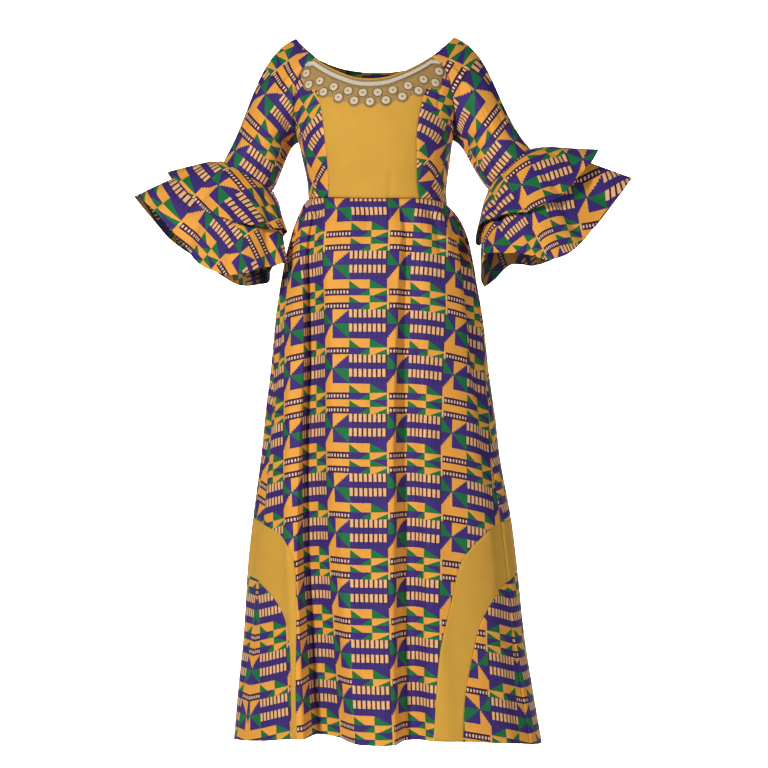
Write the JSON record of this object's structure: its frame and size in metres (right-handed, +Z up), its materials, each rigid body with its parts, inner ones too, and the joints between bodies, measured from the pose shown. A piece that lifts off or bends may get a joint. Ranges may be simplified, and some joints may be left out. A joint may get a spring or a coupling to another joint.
{
  "type": "dress",
  "caption": "Full-length wax print dress with plain yoke, long sleeves ending in tiered flounces, gathered skirt and arched plain bands over each side of the hem.",
  "frame": {"origin": "midway between the two shoulder points, where the wearer carries the dress", "axes": "+Z up, front faces -Y, the wearer's left is +X"},
  "size_m": [0.978, 0.4294, 1.3785],
  "materials": {
    "wax_print": "matt printed cotton in purple, orange, green and maroon",
    "gold_cloth": "plain gold cotton sateen",
    "lace": "gold edge and brown metallic lace",
    "ivory_braid": "ivory woven braid",
    "cream_beads": "cream disc with a small gold centre"
  },
  "bodies": {
    "root": {"back_bodice": "wax_print", "side_front_left": "wax_print", "side_front_right": "wax_print", "sleeve_left": "wax_print", "sleeve_right": "wax_print", "upper_flounce_left": "wax_print", "upper_flounce_right": "wax_print", "lower_flounce_left": "wax_print", "lower_flounce_right": "wax_print", "skirt_front": "wax_print", "skirt_back": "wax_print", "side_panel_front_left": "wax_print", "side_panel_front_right": "wax_print", "side_panel_back_left": "wax_print", "side_panel_back_right": "wax_print", "front_yoke": "gold_cloth", "arch_band_front_left": "gold_cloth", "arch_band_front_right": "gold_cloth", "arch_band_back_left": "gold_cloth", "arch_band_back_right": "gold_cloth", "neck_trim": "lace", "ivory_braid": "ivory_braid", "rosette_01": "cream_beads", "rosette_02": "cream_beads", "rosette_03": "cream_beads", "rosette_04": "cream_beads", "rosette_05": "cream_beads", "rosette_06": "cream_beads", "rosette_07": "cream_beads", "rosette_08": "cream_beads", "rosette_09": "cream_beads", "rosette_10": "cream_beads", "rosette_11": "cream_beads", "rosette_12": "cream_beads", "rosette_13": "cream_beads", "rosette_14": "cream_beads", "rosette_15": "cream_beads", "rosette_16": "cream_beads", "rosette_17": "cream_beads", "rosette_18": "cream_beads", "rosette_19": "cream_beads"}
  },
  "joints": []
}
